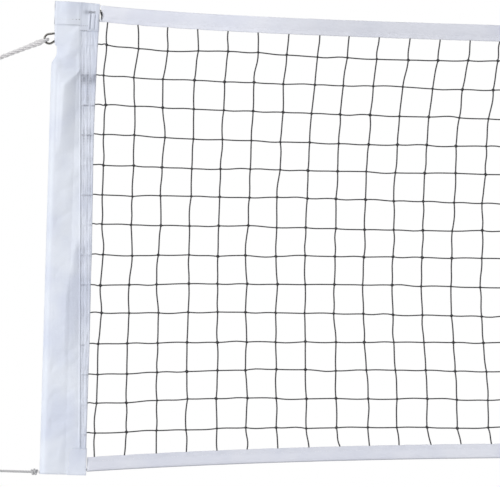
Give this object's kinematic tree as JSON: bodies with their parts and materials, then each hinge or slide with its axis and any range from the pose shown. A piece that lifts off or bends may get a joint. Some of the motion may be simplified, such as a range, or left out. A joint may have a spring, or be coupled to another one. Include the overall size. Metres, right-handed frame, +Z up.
{
  "type": "volleyball net with side poles",
  "caption": "Long volleyball net with cloth-bound edges, side sleeves with sliding stiffening poles, a steel top cable with thimble eyes, and corner tie ropes.",
  "frame": {"origin": "centre of the left thimble's eye, from which the net is hung", "axes": "+X along the net from the left eye to the right eye, +Y through the net away from the viewer, +Z up"},
  "size_m": [10.1426, 0.0356, 0.9722],
  "materials": {
    "twine": "matte",
    "tape_cloth": "satin",
    "lacing_cloth": "satin",
    "sleeve_cloth": "satin",
    "cable_steel": "bright",
    "thimble_steel": "bright",
    "ferrule_metal": "satin",
    "pole_metal": "satin",
    "cap_plastic": "matte",
    "thick_rope": "matte",
    "thin_rope": "matte"
  },
  "bodies": {
    "net": {"netting": "twine", "top_tape": "tape_cloth", "bottom_tape": "tape_cloth", "top_cable": "cable_steel", "bottom_cord": "thin_rope", "left_lacing_tape": "lacing_cloth", "right_lacing_tape": "lacing_cloth", "left_sleeve": "sleeve_cloth", "right_sleeve": "sleeve_cloth", "left_top_patch": "tape_cloth", "right_top_patch": "tape_cloth", "left_bottom_patch": "tape_cloth", "right_bottom_patch": "tape_cloth", "left_thimble": "thimble_steel", "right_thimble": "thimble_steel", "left_ferrule": "ferrule_metal", "right_ferrule": "ferrule_metal"},
    "left_side_pole": {"left_pole": "pole_metal", "left_pole_top_cap": "cap_plastic", "left_pole_bottom_cap": "cap_plastic"},
    "left_top_tie": {"left_top_splice": "thick_rope", "left_top_rope": "thick_rope", "left_top_knot": "thick_rope"},
    "left_bottom_tie": {"left_bottom_stopper": "thin_rope", "left_bottom_rope": "thin_rope", "left_bottom_knot": "thin_rope"},
    "right_side_pole": {"right_pole": "pole_metal", "right_pole_top_cap": "cap_plastic", "right_pole_bottom_cap": "cap_plastic"},
    "right_top_tie": {"right_top_splice": "thick_rope", "right_top_rope": "thick_rope", "right_top_knot": "thick_rope"},
    "right_bottom_tie": {"right_bottom_stopper": "thin_rope", "right_bottom_rope": "thin_rope", "right_bottom_knot": "thin_rope"}
  },
  "joints": [
    {"name": "left_pole_slide", "type": "slide", "parent": "net", "child": "left_side_pole", "axis": [0, 0, -1], "range_m": [0, 0.8]},
    {"name": "left_top_rope_swing", "type": "hinge", "parent": "net", "child": "left_top_tie", "pos_m": [0, 0, 0], "axis": [0, 1, 0], "range_deg": [-58, 75]},
    {"name": "left_bottom_rope_swing", "type": "hinge", "parent": "net", "child": "left_bottom_tie", "pos_m": [-0.006, 0.01515, -0.8805], "axis": [0, 1, 0], "range_deg": [-75, 75]},
    {"name": "right_pole_slide", "type": "slide", "parent": "net", "child": "right_side_pole", "axis": [0, 0, -1], "range_m": [0, 0.8]},
    {"name": "right_top_rope_swing", "type": "hinge", "parent": "net", "child": "right_top_tie", "pos_m": [9.7666, 0, 0], "axis": [0, 1, 0], "range_deg": [-75, 58]},
    {"name": "right_bottom_rope_swing", "type": "hinge", "parent": "net", "child": "right_bottom_tie", "pos_m": [9.7726, 0.01515, -0.8805], "axis": [0, 1, 0], "range_deg": [-75, 75]}
  ]
}
